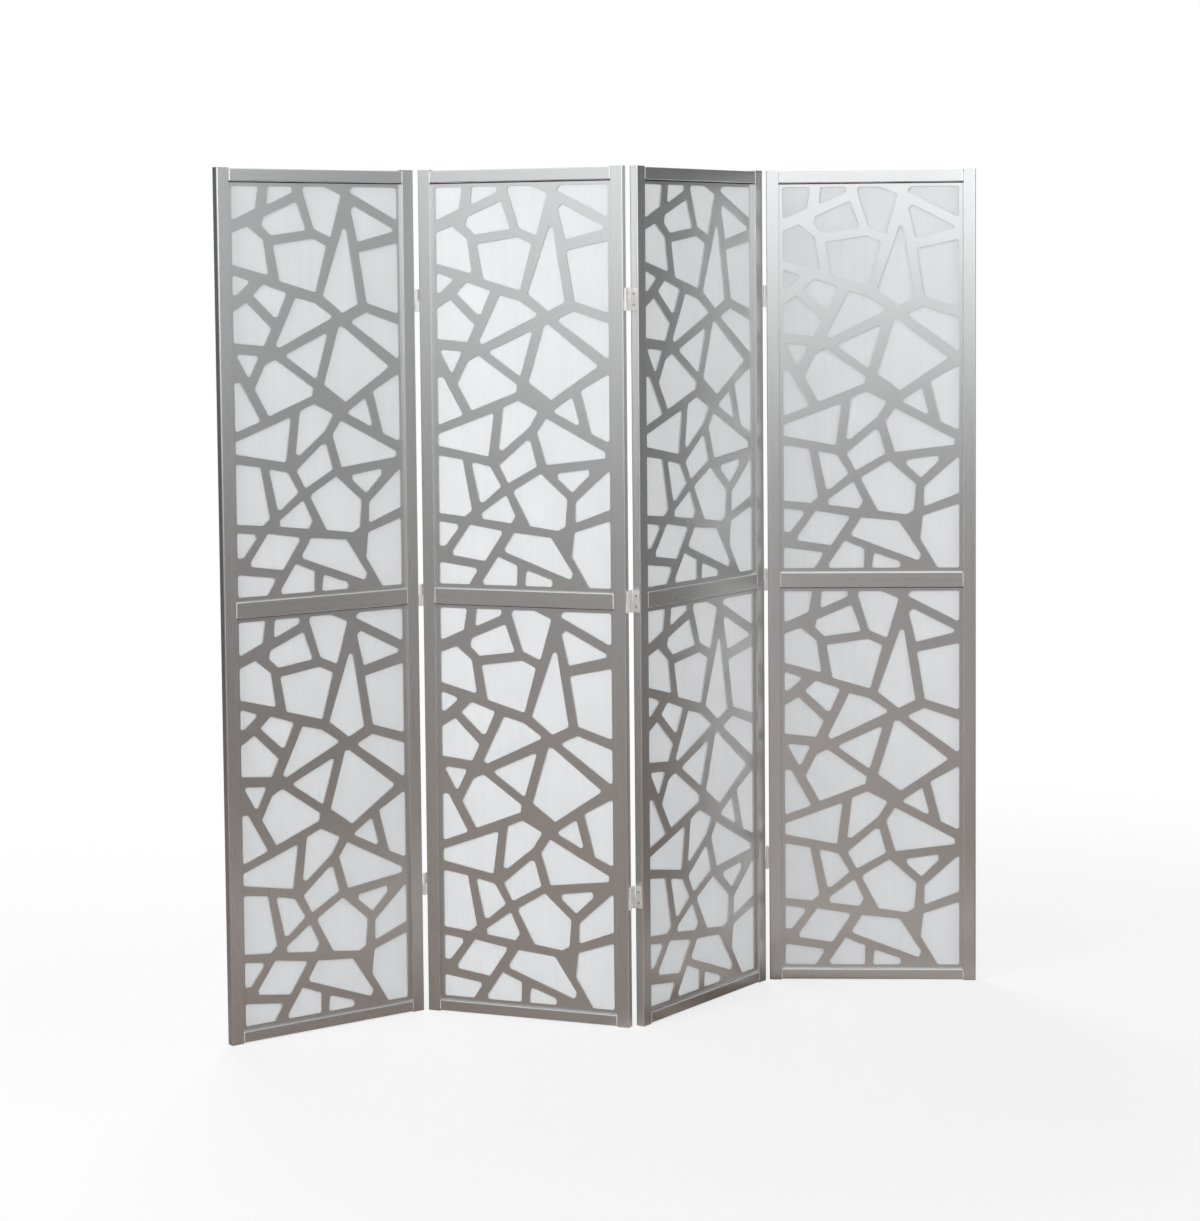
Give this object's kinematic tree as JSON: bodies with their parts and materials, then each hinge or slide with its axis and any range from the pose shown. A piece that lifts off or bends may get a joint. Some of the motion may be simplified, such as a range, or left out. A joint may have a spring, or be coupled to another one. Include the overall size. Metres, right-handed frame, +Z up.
{
  "type": "partition screen",
  "caption": "Tall folding partition screen in a zigzag, its framed panels filled with irregular openwork over white translucent sheets and tied by two-way hinges.",
  "frame": {"origin": "on the floor, under the middle of the bounding box of the zigzag", "axes": "+Z up, -Y out of the front, +X to the right as the front is seen"},
  "size_m": [1.6123, 0.4539, 1.79],
  "materials": {
    "silver_stile": "satin metallic silver paint, grain along the stile",
    "silver_rail": "satin metallic silver paint, grain along the rail",
    "silver_fretwork": "satin metallic silver paint on a thin cut board",
    "translucent_sheet": "matt white, translucent, stretched flat",
    "hinge_plate": "pale nickel plate",
    "hinge_pin": "bright pin",
    "screw_steel": "zinc plated"
  },
  "bodies": {
    "panel_1": {"panel_1_left_stile": "silver_stile", "panel_1_right_stile": "silver_stile", "panel_1_top_rail": "silver_rail", "panel_1_mid_rail": "silver_rail", "panel_1_bottom_rail": "silver_rail", "panel_1_upper_fretwork": "silver_fretwork", "panel_1_upper_sheet": "translucent_sheet", "panel_1_lower_fretwork": "silver_fretwork", "panel_1_lower_sheet": "translucent_sheet", "joint_12_left_leaves": "hinge_plate", "joint_12_left_screws": "screw_steel", "joint_12_front_pins": "hinge_pin"},
    "link_12": {"joint_12_links": "hinge_plate"},
    "panel_2": {"panel_2_left_stile": "silver_stile", "panel_2_right_stile": "silver_stile", "panel_2_top_rail": "silver_rail", "panel_2_mid_rail": "silver_rail", "panel_2_bottom_rail": "silver_rail", "panel_2_upper_fretwork": "silver_fretwork", "panel_2_upper_sheet": "translucent_sheet", "panel_2_lower_fretwork": "silver_fretwork", "panel_2_lower_sheet": "translucent_sheet", "joint_12_right_leaves": "hinge_plate", "joint_12_right_screws": "screw_steel", "joint_12_back_pins": "hinge_pin", "joint_23_left_leaves": "hinge_plate", "joint_23_left_screws": "screw_steel", "joint_23_front_pins": "hinge_pin"},
    "link_23": {"joint_23_links": "hinge_plate"},
    "panel_3": {"panel_3_left_stile": "silver_stile", "panel_3_right_stile": "silver_stile", "panel_3_top_rail": "silver_rail", "panel_3_mid_rail": "silver_rail", "panel_3_bottom_rail": "silver_rail", "panel_3_upper_fretwork": "silver_fretwork", "panel_3_upper_sheet": "translucent_sheet", "panel_3_lower_fretwork": "silver_fretwork", "panel_3_lower_sheet": "translucent_sheet", "joint_23_right_leaves": "hinge_plate", "joint_23_right_screws": "screw_steel", "joint_23_back_pins": "hinge_pin", "joint_34_left_leaves": "hinge_plate", "joint_34_left_screws": "screw_steel", "joint_34_front_pins": "hinge_pin"},
    "link_34": {"joint_34_links": "hinge_plate"},
    "panel_4": {"panel_4_left_stile": "silver_stile", "panel_4_right_stile": "silver_stile", "panel_4_top_rail": "silver_rail", "panel_4_mid_rail": "silver_rail", "panel_4_bottom_rail": "silver_rail", "panel_4_upper_fretwork": "silver_fretwork", "panel_4_upper_sheet": "translucent_sheet", "panel_4_lower_fretwork": "silver_fretwork", "panel_4_lower_sheet": "translucent_sheet", "joint_34_right_leaves": "hinge_plate", "joint_34_right_screws": "screw_steel", "joint_34_back_pins": "hinge_pin"}
  },
  "joints": [
    {"name": "fold_12_back", "type": "hinge", "parent": "panel_2", "child": "link_12", "pos_m": [-0.39857, 0.03482, 0.89325], "axis": [0, 0, -1], "range_deg": [0, 180]},
    {"name": "fold_12_front", "type": "hinge", "parent": "link_12", "child": "panel_1", "pos_m": [-0.40644, 0.01535, 0.89325], "axis": [0, 0, 1], "range_deg": [-54, 126]},
    {"name": "fold_23_front", "type": "hinge", "parent": "panel_2", "child": "link_23", "pos_m": [0.02415, -0.15862, 0.89325], "axis": [0, 0, -1], "range_deg": [0, 180]},
    {"name": "fold_23_back", "type": "hinge", "parent": "link_23", "child": "panel_3", "pos_m": [0.03202, -0.13915, 0.89325], "axis": [0, 0, 1], "range_deg": [-72, 108]},
    {"name": "fold_34_front", "type": "hinge", "parent": "panel_3", "child": "link_34", "pos_m": [0.34661, 0.2031, 0.89325], "axis": [0, 0, -1], "range_deg": [-55, 125]},
    {"name": "fold_34_back", "type": "hinge", "parent": "link_34", "child": "panel_4", "pos_m": [0.34844, 0.22402, 0.89325], "axis": [0, 0, 1], "range_deg": [0, 180]}
  ]
}
